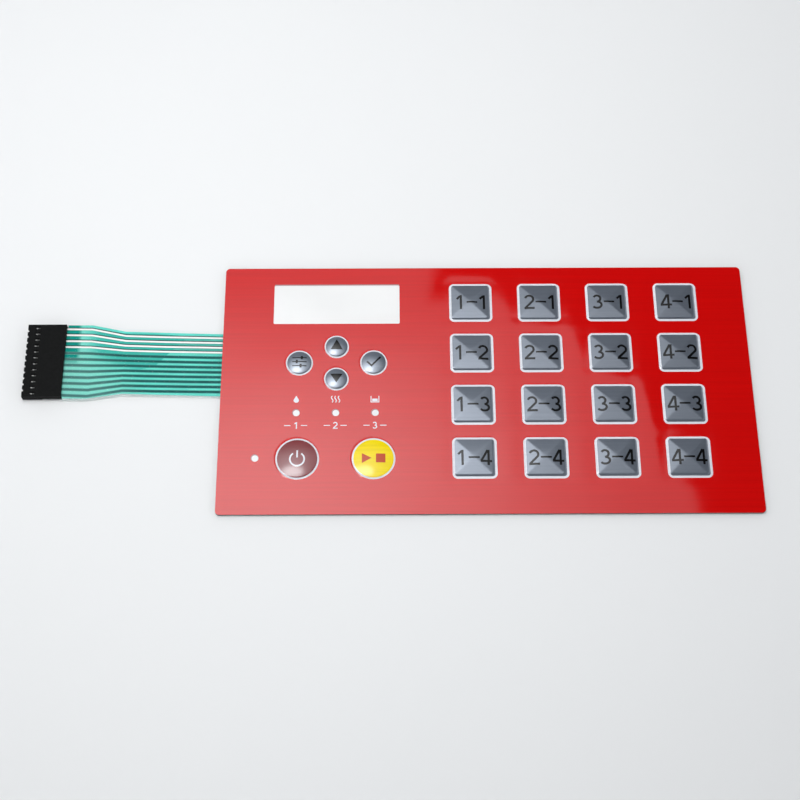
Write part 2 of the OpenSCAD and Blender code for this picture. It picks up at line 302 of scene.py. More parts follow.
def sheet(name, outline, holes, points, top, bottom, edge, materials):
    """A closed sheet. Top and bottom are each a height function and a list of printed fields."""
    top_height, top_fields = top
    bottom_height, bottom_fields = bottom
    places, triangles = plan(outline, holes, top_fields + bottom_fields, points)
    x, y = places.T
    count = len(places)
    over = np.column_stack([places, top_height(x, y)])
    under = np.column_stack([places, bottom_height(x, y)])
    corners = np.vstack([over, under])

    flipped = triangles[:, ::-1]
    rim = border(triangles, count)
    walls = np.column_stack([rim + count, rim[:, ::-1]])
    faces = triangles.tolist() + (flipped + count).tolist() + walls.tolist()

    ahead = places[rim[:, 1]] - places[rim[:, 0]]
    ahead /= np.linalg.norm(ahead, axis=1)[:, None]
    outward = np.column_stack([ahead[:, 1], -ahead[:, 0], np.zeros(len(rim))])
    normals = np.vstack([
        slope_normals(places, top_height)[triangles.ravel()],
        -slope_normals(places, bottom_height)[flipped.ravel()],
        np.repeat(outward, 4, axis=0),
    ])

    middles = places[triangles].mean(1)
    numbers = np.concatenate([
        printed(middles, top_fields, materials),
        printed(middles, bottom_fields, materials),
        np.full(len(rim), materials.index(edge)),
    ])

    mesh = bpy.data.meshes.new(name)
    mesh.from_pydata((corners * MM).tolist(), [], faces)
    for ink in materials:
        mesh.materials.append(ink)
    mesh.polygons.foreach_set("material_index", numbers.astype(np.int32))
    mesh.polygons.foreach_set("use_smooth", [True] * len(faces))
    uv = mesh.uv_layers.new(name="UVMap")
    loop_corners = np.zeros(len(mesh.loops), int)
    mesh.loops.foreach_get("vertex_index", loop_corners)
    flat = corners[loop_corners][:, :2] / PANEL_W + 0.5
    uv.data.foreach_set("uv", flat.astype(np.float32).ravel())
    mesh.update()
    mesh.normals_split_custom_set(normals.tolist())
    obj = bpy.data.objects.new(name, mesh)
    bpy.context.collection.objects.link(obj)
    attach(obj, "root")
    return obj


# Parts of node materials

def material(name):
    """A new material, its node tree and its shader."""
    made = bpy.data.materials.new(name)
    made.use_nodes = True
    return made, made.node_tree, made.node_tree.nodes["Principled BSDF"]


def noise(tree, scale, detail=2.0, rough=0.5):
    """Noise with a scale for each axis of the object, in waves per metre."""
    place = tree.nodes.new("ShaderNodeTexCoord")
    mapping = tree.nodes.new("ShaderNodeMapping")
    mapping.inputs["Scale"].default_value = scale
    tree.links.new(place.outputs["Object"], mapping.inputs["Vector"])
    texture = tree.nodes.new("ShaderNodeTexNoise")
    texture.inputs["Scale"].default_value = 1.0
    texture.inputs["Detail"].default_value = detail
    texture.inputs["Roughness"].default_value = rough
    tree.links.new(mapping.outputs["Vector"], texture.inputs["Vector"])
    return texture.outputs["Fac"]


def ramp(tree, factor, stops):
    """Colour ramp with stops that are each a position and a colour."""
    node = tree.nodes.new("ShaderNodeValToRGB")
    elements = node.color_ramp.elements
    while len(elements) < len(stops):
        elements.new(0.5)
    for element, (position, color) in zip(elements, stops):
        element.position = position
        element.color = (*color, 1)
    tree.links.new(factor, node.inputs["Fac"])
    return node.outputs["Color"]


def bump(tree, height, strength, depth, under=None):
    """Normal of a relief, on top of another normal if one is given."""
    node = tree.nodes.new("ShaderNodeBump")
    node.inputs["Strength"].default_value = strength
    node.inputs["Distance"].default_value = depth
    tree.links.new(height, node.inputs["Height"])
    if under is not None:
        tree.links.new(under, node.inputs["Normal"])
    return node.outputs["Normal"]


def along(tree, direction, start, end):
    """0 to 1 between two distances in millimetres along a direction."""
    place = tree.nodes.new("ShaderNodeTexCoord")
    distance = tree.nodes.new("ShaderNodeVectorMath")
    distance.operation = "DOT_PRODUCT"
    distance.inputs[1].default_value = direction
    tree.links.new(place.outputs["Object"], distance.inputs[0])
    fit = tree.nodes.new("ShaderNodeMapRange")
    fit.interpolation_type = "SMOOTHSTEP"
    fit.inputs["From Min"].default_value = start * MM
    fit.inputs["From Max"].default_value = end * MM
    tree.links.new(distance.outputs["Value"], fit.inputs["Value"])
    return fit.outputs["Result"]


def product(tree, a, b):
    node = tree.nodes.new("ShaderNodeMath")
    node.operation = "MULTIPLY"
    tree.links.new(a, node.inputs[0])
    tree.links.new(b, node.inputs[1])
    return node.outputs["Value"]


def blend(tree, factor, below, color):
    """A plain colour laid over a colour output, as far as the factor says."""
    node = tree.nodes.new("ShaderNodeMix")
    node.data_type = "RGBA"
    # Among the sockets of a Mix node, these three are the ones for colours
    first, second, result = node.inputs[6], node.inputs[7], node.outputs[2]
    tree.links.new(factor, node.inputs["Factor"])
    tree.links.new(below, first)
    second.default_value = (*color, 1)
    return result


def shade(color, share):
    return tuple(min(1.0, channel * share) for channel in color)


# Kinds of material

WAVE_SCALE = (15, 17, 1)
WAVE_DEPTH = 0.0004
BROAD_SCALE = (14, 1100, 1)
BROAD_DEPTH = 0.000002
STREAK_SCALE = (60, 4200, 1)
STREAK_DEPTH = 0.0000012
FILM_SPECULAR = 0.02
CLEAR_ROUGH = 0.12
PALER_DIRECTION = (-0.8, -0.6, 0)
PALER_START = 103
PALER_END = 122


def film(name, color, rough=0.32, coat=1.0, hair=0.6, metallic=0.0, gloss=0.06):
    """Printed film: ink under a clear hairline surface that waves slightly."""
    made, tree, shader = material(name)
    streak = noise(tree, STREAK_SCALE, 3, 0.6)
    broad = noise(tree, BROAD_SCALE, 2, 0.6)
    tone = ramp(tree, broad, [(0.3, shade(color, 0.95)), (0.7, shade(color, 1.05))])
    tree.links.new(tone, shader.inputs["Base Color"])
    shader.inputs["Roughness"].default_value = rough
    shader.inputs["Metallic"].default_value = metallic
    shader.inputs["Specular IOR Level"].default_value = FILM_SPECULAR
    shader.inputs["Coat Weight"].default_value = coat
    shader.inputs["Coat Roughness"].default_value = gloss
    normal = bump(tree, noise(tree, WAVE_SCALE, 1.0), 1.0, WAVE_DEPTH)
    normal = bump(tree, broad, 1.0, BROAD_DEPTH * hair, normal)
    normal = bump(tree, streak, 1.0, STREAK_DEPTH * hair, normal)
    tree.links.new(normal, shader.inputs["Normal"])
    tree.links.new(normal, shader.inputs["Coat Normal"])
    return made


def clear(name, color, alpha):
    """Film with a colour of its own, which the layers behind show through as far as its alpha lets them."""
    made, tree, shader = material(name)
    tone = ramp(tree, noise(tree, (30, 60, 1)), [(0.3, shade(color, 0.93)), (0.7, color)])
    tree.links.new(tone, shader.inputs["Base Color"])
    shader.inputs["Alpha"].default_value = alpha
    shader.inputs["Roughness"].default_value = CLEAR_ROUGH
    return made


def paler_near_connector(tree, color, near_connector_tint):
    """A colour that turns paler on the near part of the tail, towards the connector."""
    return blend(tree, along(tree, PALER_DIRECTION, PALER_START, PALER_END), color, near_connector_tint)


def plain(name, low, high, scale, rough, alpha=1.0, metallic=0.0, specular=0.5, near_connector_tint=None):
    """One colour with a fine variation, and a paler colour on the near part of the tail where one is given.
    """
    made, tree, shader = material(name)
    color = ramp(tree, noise(tree, scale), [(0.3, low), (0.7, high)])
    if near_connector_tint:
        color = paler_near_connector(tree, color, near_connector_tint)
    tree.links.new(color, shader.inputs["Base Color"])
    shader.inputs["Specular IOR Level"].default_value = specular
    shader.inputs["Roughness"].default_value = rough
    shader.inputs["Alpha"].default_value = alpha
    shader.inputs["Metallic"].default_value = metallic
    return made


def grain(made, scale, strength, depth):
    """Give a material a fine moulded grain."""
    tree = made.node_tree
    normal = bump(tree, noise(tree, scale), strength, depth)
    tree.links.new(normal, tree.nodes["Principled BSDF"].inputs["Normal"])


PALE_LOW = (0.125, 0.65, 0.54)
PALE_HIGH = (0.155, 0.74, 0.62)
PALE_NEAR_CONNECTOR = (0.23, 0.68, 0.57)
TOUCHING_GREEN = (0.05, 0.47, 0.385)
# Colour of the painted reflection of the black housing in the tail
HOUSING_REFLECTION_GREEN = (0.004, 0.30, 0.235)
TAIL_SPECULAR = 0.03


def ground(name, touching=False, light=1.0):
    """Green ink on the tail: darker where the cover film touches it, with a painted reflection of the black
    housing beside the housing's far side.
    """
    made, tree, shader = material(name)
    stops = [(0.35, shade(PALE_LOW, light)), (0.65, shade(PALE_HIGH, light))]
    color = ramp(tree, noise(tree, (90, 140, 1)), stops)
    color = paler_near_connector(tree, color, shade(PALE_NEAR_CONNECTOR, light))
    # Painted reflection: dark green where the black housing is mirrored in the tail, beside it and towards
    # the tail's far side.
    reflection_beside_housing = along(tree, (-1, 0, 0), 157.5, 159.5)
    reflection_far_side = along(tree, (0, 1, 0), 9, 14)
    color = blend(tree, product(tree, reflection_beside_housing, reflection_far_side), color, HOUSING_REFLECTION_GREEN)
    if touching:
        upper_side = along(tree, (0.4, 0.92, 0), -50, -45)
        off_housing = along(tree, (1, 0, 0), -157, -149)
        color = blend(tree, product(tree, upper_side, off_housing), color, shade(TOUCHING_GREEN, light))
    tree.links.new(color, shader.inputs["Base Color"])
    shader.inputs["Roughness"].default_value = 0.5
    shader.inputs["Specular IOR Level"].default_value = TAIL_SPECULAR
    return made


# Materials of the front film

RED = film("red_film", (0.575, 0.0012, 0.001), hair=1.0)
WHITE = film("white_ink", (0.72, 0.725, 0.775))
SILVER = film("silver_ink", (0.145, 0.165, 0.2), rough=0.33, metallic=0.56, gloss=0.2)
BLACK = film("black_ink", (0.001, 0.001, 0.0012), coat=0.7, gloss=0.2)
MAROON = film("maroon_ink", (0.19, 0.02, 0.025), gloss=0.16)
YELLOW = film("yellow_ink", (0.86, 0.66, 0.001), coat=0.5, gloss=0.13)
BROWN = film("brown_ink", (0.5, 0.06, 0.01), coat=0.5)
# Display window: mostly opaque near-white, partly the pale floor seen through it and partly a painted
# reflection of the light in the film.
CLEAR = clear("clear_window", (0.99, 0.98, 0.965), 0.82)
LAMP = clear("lamp_window", (0.93, 0.93, 0.94), 0.85)
# Painted shade: the dark crescent at the top of each lamp window and the band along the display window's top.
RIM_SHADE = clear("lamp_window_painted_shade", (0.42, 0.20, 0.21), 0.9)
CLEAR_BACK = clear("clear_window_back", (0.96, 0.97, 0.98), 0.03)
# Edges of the films: dark grey-brown, a painted shade for the shadow along the panel's edges.
EDGE = plain("film_edge_painted_shade", (0.045, 0.03, 0.03), (0.08, 0.055, 0.055), (60, 60, 4000), 0.4)


# Heights of the front film

def smooth_min(a, b, width):
    """The lesser of two heights, with a soft bend where they meet."""
    return np.minimum(a, b) - np.maximum(width - np.abs(a - b), 0) ** 2 / (4 * width)


def smooth_max(a, b, width):
    return -smooth_min(-a, -b, width)


def inward(dx, dy):
    """Distance inwards from a square key's outline, negative outside it."""
    past_x = dx - KEY_SIZE / 2 + KEY_R
    past_y = dy - KEY_SIZE / 2 + KEY_R
    at_corner = (past_x > 0) & (past_y > 0)
    return KEY_R - np.where(at_corner, np.hypot(past_x, past_y), np.maximum(past_x, past_y))


def roof(distance):
    """Height of one of a square key's roofs, by the distance from its ridge."""
    share = np.sqrt(distance * distance + PEAK_ROUND) / (KEY_SIZE / 2 - DRAFT)
    return WALL + (KEY_RISE - WALL) * (1 - share ** ROOF_POWER)


def front(x, y):
    """Height of the front film's face: embossed keys, and a shallow dish round each square one."""
    lift = np.full_like(x, -1.0)
    dip = np.zeros_like(x)
    reach = KEY_SIZE / 2 + DISH_LIMIT
    for cx, cy in SQUARES:
        near = (np.abs(x - cx) < reach) & (np.abs(y - cy) < reach)
        dx = np.abs(x[near] - cx)
        dy = np.abs(y[near] - cy)
        depth = inward(dx, dy)
        roofs = smooth_min(roof(dx), roof(dy), HIP_ROUND)
        pillow = smooth_min(roofs, depth * WALL / DRAFT, EDGE_ROUND)
        lift[near] = np.maximum(lift[near], pillow)
        dip[near] += DISH * np.exp(-(np.maximum(-depth, 0) / DISH_REACH) ** 2)
    for cx, cy, d in DOMES:
        near = np.hypot(x - cx, y - cy) < d / 2 + DOME_LIMIT
        r = np.hypot(x[near] - cx, y[near] - cy)
        crown = WALL + (ROUND_RISE - WALL) * (1 - (r / (d / 2 - DRAFT)) ** 2)
        lift[near] = smooth_min(crown, (d / 2 - r) * WALL / DRAFT, DOME_ROUND)
    return FRONT_Z + smooth_max(lift, -dip, FOOT_ROUND)


def hollow(x, y):
    """Height of the front film's back: hollow under the keys at the film's own thickness."""
    return np.maximum(front(x, y) - (FRONT_Z - OVERLAY_Z), OVERLAY_Z)


# Distances inwards from a key's outline of the rings of points where its height bends
KEY_RINGS = (-6.4, -5.2, -4.2, -3.2, -2.5, -1.8, -1.2, -0.8, -0.4, 0.0, 0.15, 0.3, 0.5, 0.8, 1.3)
KEY_RING_LEAST_R = 0.5
NEAR_RING = -1
NEAR_STEP = 0.55
FAR_STEP = 1.2
GRID_REACH = 6.05
GRID_STEP = 0.605
DOME_RINGS = (-0.6, -0.3, -0.15, 0.0, 0.15, 0.3, 0.5, 0.8, 1.3)
DOME_RING_POINTS = 64
CROWN_START = 1.9
CROWN_STEP = 0.6
CROWN_LEAST_R = 0.3
CROWN_LEAST_POINTS = 8
CROWN_POINTS_PER_MM = 9


def emboss_points():
    """Points that let the mesh of the front film follow the embossing."""
    points = []
    grid = np.arange(-GRID_REACH, GRID_REACH + GRID_STEP / 2, GRID_STEP)
    for cx, cy in SQUARES:
        for inset in KEY_RINGS:
            size = KEY_SIZE - 2 * inset
            step = NEAR_STEP if inset > NEAR_RING else FAR_STEP
            points += dense(rounded(cx, cy, size, size, max(KEY_R - inset, KEY_RING_LEAST_R)), step)
        points += [(cx + a, cy + b) for a in grid for b in grid]
    for cx, cy, d in DOMES:
        for inset in DOME_RINGS:
            points += circle(cx, cy, d / 2 - inset, DOME_RING_POINTS)
        for r in np.arange(d / 2 - CROWN_START, CROWN_LEAST_R, -CROWN_STEP):
            points += circle(cx, cy, r, max(CROWN_LEAST_POINTS, int(r * CROWN_POINTS_PER_MM)))
    return points


# Print of the square keys: a white frame, silver ink and a label of two numerals

PRINT_STEP = 0.6
FRAME_DROP = 0.1
FRAME_W = 16.9
FRAME_H = 16.7
FRAME_R = 2.0
FRAME_STEPS = 8
INK_W = 15.1
INK_H = 14.9
INK_R = 1.0
LABEL_DROP = 3.2
LABEL_REACH = 4.55
LABEL_STROKE = 0.88
ONE_SHIFT = 0.55
DASH_REACH = 2.1
DASH_UP = 3.1
DASH_STROKE = 0.72


def fine(loop):
    """An outline with enough points to follow the embossing."""
    return dense(loop, PRINT_STEP)


def label(x, y, first, second):
    """Outlines of two numerals and a dash, with the middle of the ink at x and its foot on y."""
    starts = []
    for char, place in ((first, -LABEL_REACH), (second, LABEL_REACH)):
        shift = ONE_SHIFT if char == "1" else 0
        starts.append(place - NUMERALS[char][0] / 2 - shift)
    middle = (starts[0] + starts[1] + NUMERALS[second][0]) / 2
    outlines = numeral(first, x + starts[0] - middle, y, 1, LABEL_STROKE)
    outlines += numeral(second, x + starts[1] - middle, y, 1, LABEL_STROKE)
    dash = [(x - DASH_REACH - middle, y + DASH_UP), (x + DASH_REACH - middle, y + DASH_UP)]
    outlines.append(ribbon(dash, DASH_STROKE))
    return outlines


def square_key_print():
    fields = []
    for i, (cx, cy) in enumerate(SQUARES):
        x = cx + KEY_SHIFT[0]
        y = cy + KEY_SHIFT[1]
        column = str(i % KEY_COUNT + 1)
        row = str(i // KEY_COUNT + 1)
        fields.append((fine(rounded(x, y - FRAME_DROP, FRAME_W, FRAME_H, FRAME_R, FRAME_STEPS)), WHITE))
        fields.append((fine(rounded(x, y - FRAME_DROP, INK_W, INK_H, INK_R)), SILVER))
        fields += [(fine(stroke), BLACK) for stroke in label(x, y - LABEL_DROP, column, row)]
    return fields


# Print of the round keys: a white ring, the key's ink and a plain sign drawn round the key's middle

ROUND_INKS = [SILVER, SILVER, SILVER, SILVER, MAROON, YELLOW]
ROUND_POINTS = 72
SMALL_RING = 0.55
LARGE_RING = 0.65


def up_arrow():
    return [[(-2.35, -1.3), (2.35, -1.3), (0, 3.0)]]


def down_arrow():
    return [[(-2.4, 2.0), (0, -1.7), (2.4, 2.0)]]


def sliders():
    """Three lines with a knob on each."""
    shapes = []
    for y, knob in ((2.0, 0.9), (0.3, -1.0), (-1.4, 0.5)):
        shapes.append(ribbon([(-2.8, y), (2.8, y)], 0.42))
        shapes.append(ribbon([(knob, y - 0.75), (knob, y + 0.75)], 0.8))
    return shapes


def tick():
    return [ribbon([(-2.6, 0.3), (-0.8, -1.5), (2.7, 2.3)], 0.7)]


def standby():
    """An open ring with a bar in its gap."""
    ring = ribbon(arc(0, -0.3, 2.7, 2.7, 125, 415, 40), 0.6)
    bar = ribbon([(0, 0.3), (0, 3.2)], 0.6)
    return [ring, bar]


def start_and_stop():
    """A triangle beside a square."""
    start = [(-4.4, -2.0), (-0.7, 0), (-4.4, 2.0)]
    stop = rounded(2.7, 0, 3.6, 3.6, 0.2, 2)
    return [start, stop]


ROUND_SIGNS = [
    (UP_KEY, up_arrow(), BLACK),
    (DOWN_KEY, down_arrow(), BLACK),
    (LEFT_KEY, sliders(), BLACK),
    (RIGHT_KEY, tick(), BLACK),
    (STANDBY_KEY, standby(), WHITE),
    (START_KEY, start_and_stop(), BROWN),
]


def print_middle(key):
    """Middle of the print on a round key."""
    return key[0] + ROUND_SHIFT[0], key[1] + ROUND_SHIFT[1]


def round_key_print():
    fields = []
    for key, ink in zip(ROUNDS, ROUND_INKS):
        x, y = print_middle(key)
        r = key[2] / 2
        ring = LARGE_RING if key[2] == LARGE_D else SMALL_RING
        fields.append((circle(x, y, r, ROUND_POINTS), WHITE))
        fields.append((circle(x, y, r - ring, ROUND_POINTS), ink))
    for key, shapes, ink in ROUND_SIGNS:
        x, y = print_middle(key)
        fields += [(fine(moved(shape, x, y)), ink) for shape in shapes]
    return fields


# Print of the lamps: windows with a rim of painted shade, and in the row a sign above and a number below each

LAMP_POINTS = 36
LAMP_DROP = 0.25
LAMP_RIM = 0.22
LAMP_SHIFT = (0.15, -0.47)
NUMBER_DROP = 5.6
NUMBER_FOOT = 1.35
NUMBER_SCALE = 0.44
NUMBER_STROKE = 0.4
NUMBER_DASH = (2.0, 4.4)
NUMBER_DASH_STROKE = 0.32
SIGN_UP = 5.3


def drop():
    return [[(0, 1.5)] + arc(0, -0.45, 1.0, 0.95, 35, -215, 16)]


def waves():
    """Three upright waves side by side."""
    swing = 0.32
    foot = -1.3
    height = 2.7
    steps = 8
    shapes = []
    for middle in (-1.3, 0.0, 1.3):
        shares = [i / steps for i in range(steps + 1)]
        wave = [(middle + swing * math.sin(2 * math.pi * s), foot + height * s) for s in shares]
        shapes.append(ribbon(wave, 0.36))
    return shapes


def tray():
    """A tray with something in it."""
    sides = ribbon([(-1.5, 1.3), (-1.5, -1.2), (1.5, -1.2), (1.5, 1.3)], 0.34)
    return [sides, rounded(0, -0.35, 2.1, 1.1, 0.1, 2)]


def lamp_print():
    fields = []
    for x, y in LAMPS:
        # A disc of painted shade, with the lighter window over it shifted down and right, leaves a crescent
        # of painted shade at its top.
        fields.append((circle(x, y - LAMP_DROP, LAMP_D / 2, LAMP_POINTS), RIM_SHADE))
        light = circle(x + LAMP_SHIFT[0], y + LAMP_SHIFT[1], LAMP_D / 2 - LAMP_RIM, LAMP_POINTS)
        fields.append((light, LAMP))
    for char, (x, y) in zip("123", LAMP_ROW):
        start = x - NUMERALS[char][0] * NUMBER_SCALE / 2
        middle = y - NUMBER_DROP
        outlines = numeral(char, start, middle - NUMBER_FOOT, NUMBER_SCALE, NUMBER_STROKE)
        for side in (-1, 1):
            dash = [(x + side * end, middle) for end in NUMBER_DASH]
            outlines.append(ribbon(dash, NUMBER_DASH_STROKE))
        fields += [(outline, WHITE) for outline in outlines]
    for shapes, (x, y) in zip((drop(), waves(), tray()), LAMP_ROW):
        fields += [(moved(shape, x, y + SIGN_UP), WHITE) for shape in shapes]
    return fields


# Display window, with the shadow of the print's edge along its top

WINDOW_SHADOW = 0.5


def window_outline(top=0.0, margin=0.0):
    """Outline of the display window, lowered at its top or wider all round."""
    w = WINDOW_W + 2 * margin
    h = WINDOW_H + 2 * margin - top
    return rounded(WINDOW_X, WINDOW_Y - top / 2, w, h, WINDOW_R + margin)


def window_print():
    return [(window_outline(), RIM_SHADE), (window_outline(top=WINDOW_SHADOW), CLEAR)]


# Front film

OUTLINE_STEP = 6
front_outline = dense(rounded(0, 0, PANEL_W, PANEL_H, PANEL_R), OUTLINE_STEP)
front_print = square_key_print() + round_key_print() + lamp_print() + window_print()
back_print = [(window_outline(), CLEAR_BACK)]
back_print += [(circle(x, y, LAMP_D / 2, LAMP_POINTS), CLEAR_BACK) for x, y in LAMPS]
front_materials = [
    RED, WHITE, SILVER, BLACK, MAROON, YELLOW, BROWN,
    CLEAR, LAMP, RIM_SHADE, CLEAR_BACK, EDGE,
]
overlay = sheet(
    "front_film", front_outline, [], emboss_points(),
    (front, front_print), (hollow, back_print), EDGE, front_materials,
)
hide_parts("graphic_overlay")


# Course of the tail

# Places along the tail at which its outline and its tracks have points. The tracks start inside the panel.
STATION_STEP = 2
TAPER_STATIONS = 8
WIDE_START = -156
TONGUE_START = -165
INNER_X = -100.0
SHOULDER_STEP = 0.01
tail_stations = [
    *np.arange(LEFT, NARROW_X, -STATION_STEP),
    *np.linspace(NARROW_X, WIDE_X, TAPER_STATIONS),
    *np.arange(WIDE_START, SHOULDER_X, -STATION_STEP),
    SHOULDER_X,
    SHOULDER_X - SHOULDER_STEP,
    *np.arange(TONGUE_START, TONGUE_X, -STATION_STEP),
    TONGUE_X,
]
inner_stations = [INNER_X] + tail_stations


def on_tail(x, course):
    """Value at x of a course of (x, value) pairs that runs from the panel to the connector."""
    return float(np.interp(-x, [-place for place, _ in course], [value for _, value in course]))


def tail_half(x):
    """Half width of the tail at x."""
    return on_tail(x, [
        (NARROW_X, NARROW_W / 2),
        (WIDE_X, WIDE_W / 2),
        (SHOULDER_X, WIDE_W / 2),
        (SHOULDER_X - SHOULDER_STEP, TONGUE_W / 2),
    ])


def tail_mid(x):
    """Middle line of the tail, which steps sideways on its way to the connector."""
    return on_tail(x, [(LEFT, TAIL_Y), (WIDE_X, CONNECTOR_Y)])


def tail_sides(stations, upper=0.0, lower=0.0):
    """Outline of the tail between its sides, each moved by a distance."""
    far = [(x, tail_mid(x) + tail_half(x) + upper) for x in stations]
    near = [(x, tail_mid(x) - tail_half(x) + lower) for x in stations]
    return far + near[::-1]


def rise(share):
    """Soft rise from 0 to 1."""
    return (1 - np.cos(np.pi * np.clip(share, 0, 1))) / 2


def lower_bottom(x, y):
    """Height of the lower film's back, which rises to the connector."""
    return LOWER_Z + (ENTRY_Z - LOWER_Z) * rise((LEFT - TAIL_START - x) / (TAIL_LEN - 2 * TAIL_START))


def lower_top(x, y):
    return lower_bottom(x, y) + CIRCUIT_T


def upper_bottom(x, y):
    """Height of the upper film's back, which closes up on the lower film outside the panel."""
    gap = SPACER_T * (1 - rise((LEFT - TAIL_START - x) / (TAIL_LEN * CLOSE_SHARE)))
    return lower_top(x, y) + np.maximum(gap, FILM_GAP)


def upper_top(x, y):
    return upper_bottom(x, y) + CIRCUIT_T


# Outline and openings of the two circuit films

HOLE_POINTS = 32


def claw_slits():
    slits = []
    for i in range(CONTACTS):
        contact_y = CONNECTOR_Y + (i - (CONTACTS - 1) / 2) * PITCH
        for side in (-1, 1):
            low = contact_y + side * SLIT_REACH - SLIT_W / 2
            high = contact_y + side * SLIT_REACH + SLIT_W / 2
            for start in SLIT_STARTS:
                end = start + SLIT_LEN
                slits.append([(start, low), (end, low), (end, high), (start, high)])
    return slits


panel_corners = rounded(0, 0, PANEL_W, PANEL_H, PANEL_R)
half_way = len(panel_corners) // 2
film_outline = panel_corners[:half_way] + tail_sides(tail_stations) + panel_corners[half_way:]
film_holes = [window_outline(margin=WINDOW_MARGIN)]
film_holes += [circle(x, y, LAMP_D / 2 + WINDOW_MARGIN, HOLE_POINTS) for x, y in LAMPS]
film_holes += claw_slits()


# Tracks, counted from the far side: four silver ones on the upper film, eight covered ones on the lower

TRACKS = 12
UPPER_TRACKS = range(1, 5)
LOWER_TRACKS = range(5, 13)
# Distance between tracks, and how far their middle lies from the tail's, at places along the tail
TRACK_GAP = [(LEFT, 2.085), (NARROW_X, 2.13), (WIDE_X, 2.6), (SHOULDER_X, 2.575)]
TRACK_DRIFT = [(LEFT, 0.29), (-128, 0.09), (NARROW_X, 0.06), (WIDE_X, -0.08), (SHOULDER_X, 0.17)]
HALO_W = 1.3
COVERED_W = 0.82
SILVER_W = 0.74
SHADOW_W = 0.45
SHADOW_SHIFT = 0.52


def track_line(i, shift=0.0):
    """Middle line of a printed track from inside the panel to the connector."""
    path = []
    for x in inner_stations:
        offset = on_tail(x, TRACK_DRIFT) + ((TRACKS + 1) / 2 - i) * on_tail(x, TRACK_GAP)
        path.append((x, tail_mid(x) + offset + shift))
    return path


# Lower circuit film

# The green ink reaches just past the far side of the tail, and leaves a clear strip at its near side
INK_OVER = 0.01
CLEAR_STRIP = 0.75
TOUCHING_STEP = 2
# Where the cover film touches the ink, up to the curve that it lifts off along
TOUCHING = [
    (-116.4, 22.4), (-118.3, 20.2), (-120.0, 18.4), (-122.9, 15.4), (-126.6, 11.5), (-128.2, 9.7),
    (-129.6, 8.9), (-131.5, 8.5), (-140.0, 7.0), (-158.0, 7.0), (-158.0, 26.0), (-150.0, 25.0),
    (-141.0, 23.6), (-130.0, 23.4),
]
MARGIN_FILM = plain("clear_margin", (0.70, 0.80, 0.78), (0.78, 0.86, 0.84), (80, 80, 1), 0.2, alpha=0.35)
GREEN = ground("green_ground")
TOUCHED = ground("green_ground_touching", touching=True)
# Green ink in painted shade, for the shading under the silver tracks of the upper film.
SHADED = ground("green_ground_painted_shade_between_tracks", light=0.78)
HALO = plain(
    "track_edge", (0.036, 0.25, 0.21), (0.046, 0.30, 0.26), (200, 900, 1), 0.35,
    specular=TAIL_SPECULAR, near_connector_tint=(0.10, 0.32, 0.28),
)
TRACK = plain(
    "covered_track", (0.015, 0.085, 0.08), (0.021, 0.11, 0.105), (200, 1500, 1), 0.5,
    specular=TAIL_SPECULAR, near_connector_tint=(0.072, 0.19, 0.175),
)


def lower_print(band):
    # Between the first and the last silver track the ink is in painted shade.
    between_silver = track_line(UPPER_TRACKS[0]) + track_line(UPPER_TRACKS[-1])[::-1]
    fields = [(band, GREEN), (between_silver, SHADED), (dense(TOUCHING, TOUCHING_STEP), TOUCHED)]
    for i in LOWER_TRACKS:
        fields.append((ribbon(track_line(i), HALO_W), HALO))
        fields.append((ribbon(track_line(i), COVERED_W), TRACK))
    return fields


ink_band = tail_sides(inner_stations, upper=INK_OVER, lower=CLEAR_STRIP)
lower = sheet(
    "lower_film", film_outline, film_holes, [],
    (lower_top, lower_print(ink_band)), (lower_bottom, [(ink_band, GREEN)]), MARGIN_FILM,
    [MARGIN_FILM, GREEN, TOUCHED, HALO, TRACK, SHADED],
)
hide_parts("lower_circuit")


# Upper circuit film

COVER = plain("cover_film", (0.1, 0.3, 0.27), (0.15, 0.4, 0.36), (40, 60, 1), 0.12, alpha=0.02)
BRIGHT = plain("silver_track", (0.88, 0.86, 0.83), (0.95, 0.94, 0.91), (300, 2500, 1), 0.4, specular=0.1)
DARK = plain(
    "track_shadow", (0.015, 0.045, 0.04), (0.03, 0.065, 0.06), (300, 2500, 1), 0.4,
    specular=TAIL_SPECULAR,
)


def upper_print():
    """Silver tracks, each with its shadow on the far side."""
    fields = []
    for i in UPPER_TRACKS:
        fields.append((ribbon(track_line(i, SHADOW_SHIFT), SHADOW_W), DARK))
        fields.append((ribbon(track_line(i), SILVER_W), BRIGHT))
    return fields


upper = sheet(
    "upper_film", film_outline, film_holes, [],
    (upper_top, upper_print()), (upper_bottom, []), COVER, [COVER, BRIGHT, DARK],
)
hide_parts("upper_circuit")


# Materials of the solids that are shown as they are

def dress(names, made):
    for name in names:
        nodes[name].data.materials.clear()
        nodes[name].data.materials.append(made)


HOUSING = plain(
    "black_plastic", (0.0022, 0.0024, 0.0024), (0.0045, 0.0048, 0.0048), (900, 900, 900), 0.55,
    specular=0.08,
)
grain(HOUSING, (5000, 5000, 5000), 0.3, 0.00002)
# Tinned metal, darker than bare tin: a painted shade for the contacts deep in the housing's windows.
METAL = plain("tinned_metal_painted_shade", (0.30, 0.30, 0.29), (0.42, 0.42, 0.41), (1500, 300, 1500), 0.4, metallic=1.0)
